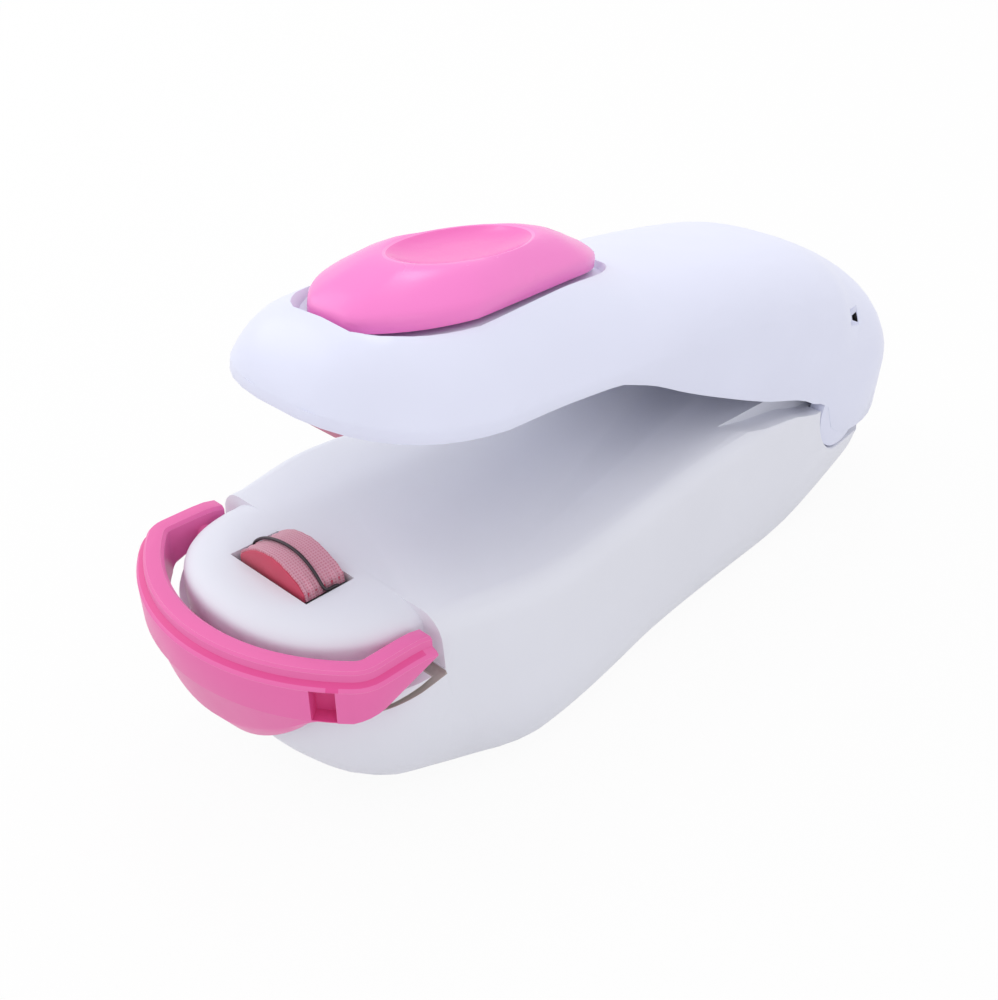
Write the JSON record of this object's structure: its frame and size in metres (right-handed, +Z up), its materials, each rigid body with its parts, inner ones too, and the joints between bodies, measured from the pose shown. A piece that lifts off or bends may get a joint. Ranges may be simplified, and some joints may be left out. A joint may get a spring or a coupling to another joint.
{
  "type": "mini bag sealer",
  "caption": "Hand-held battery bag sealer: rounded base with a sprung heater pad in its nose, a hinged spring-open arm with a press button, and a flip-up lock bail.",
  "frame": {"origin": "on the underside, under the middle of the cells", "axes": "+X across, +Y from the nose to the hinge, +Z up"},
  "size_m": [0.048, 0.1302, 0.0584],
  "materials": {
    "white_shell": "smooth moulded, slightly glossy",
    "white_arm": "smooth moulded, slightly glossy",
    "white_inner": "moulded",
    "cell_wrap": "printed sleeve without marks",
    "spring_steel": "nickel plated",
    "brass_strip": "bare",
    "dark_plastic": "heat-resistant moulding",
    "red_silicone": "soft, matt",
    "glass_cloth": "coated woven glass tape",
    "resistance_wire": "oxidised",
    "screw_steel": "zinc plated",
    "pink_gloss": "glossy",
    "pink_silicone": "soft, matt",
    "pink_lock": "satin"
  },
  "bodies": {
    "base": {"base_shell": "white_shell", "battery_left": "cell_wrap", "battery_right": "cell_wrap", "bridge_contact": "spring_steel", "bridge_spring": "spring_steel", "positive_contact": "brass_strip", "negative_contact": "spring_steel", "negative_spring": "spring_steel", "heater_spring": "spring_steel", "arm_spring": "spring_steel"},
    "door": {"battery_door": "white_shell"},
    "heater": {"heater_block": "dark_plastic", "switch_rivet": "brass_strip", "heater_pad": "red_silicone", "pad_cloth": "glass_cloth", "heating_wire": "resistance_wire"},
    "arm": {"arm_shell": "white_arm", "arm_plate": "white_inner", "arm_screws": "screw_steel", "button_spring": "spring_steel"},
    "button": {"press_button": "pink_gloss", "jaw_carrier": "white_inner", "carrier_screw": "screw_steel", "upper_pad": "pink_silicone"},
    "lock": {"lock_bail": "pink_lock"}
  },
  "joints": [
    {"name": "arm_hinge", "type": "hinge", "parent": "base", "child": "arm", "pos_m": [0, 0.0528, 0.017], "axis": [1, 0, 0], "range_deg": [0, 8.7], "stiffness_Nm_per_rad": 0.3, "springref_deg": -11.46, "deforming": ["arm_spring"]},
    {"name": "button_slide", "type": "slide", "parent": "arm", "child": "button", "axis": [0, -0.1513, -0.9885], "range_m": [0, 0.0006], "stiffness_N_per_m": 300, "springref_m": -0.001, "deforming": ["button_spring"]},
    {"name": "lock_flip", "type": "hinge", "parent": "base", "child": "lock", "pos_m": [0, -0.041, 0.0225], "axis": [-1, 0, 0], "range_deg": [0, 55]},
    {"name": "heater_slide", "type": "slide", "parent": "base", "child": "heater", "axis": [0, 0, -1], "range_m": [0, 0.0008], "stiffness_N_per_m": 1500, "springref_m": -0.001, "deforming": ["heater_spring"]},
    {"name": "door_swing", "type": "hinge", "parent": "base", "child": "door", "pos_m": [0, -0.0284, 0.0014], "axis": [-1, 0, 0], "range_deg": [0, 25]}
  ]
}
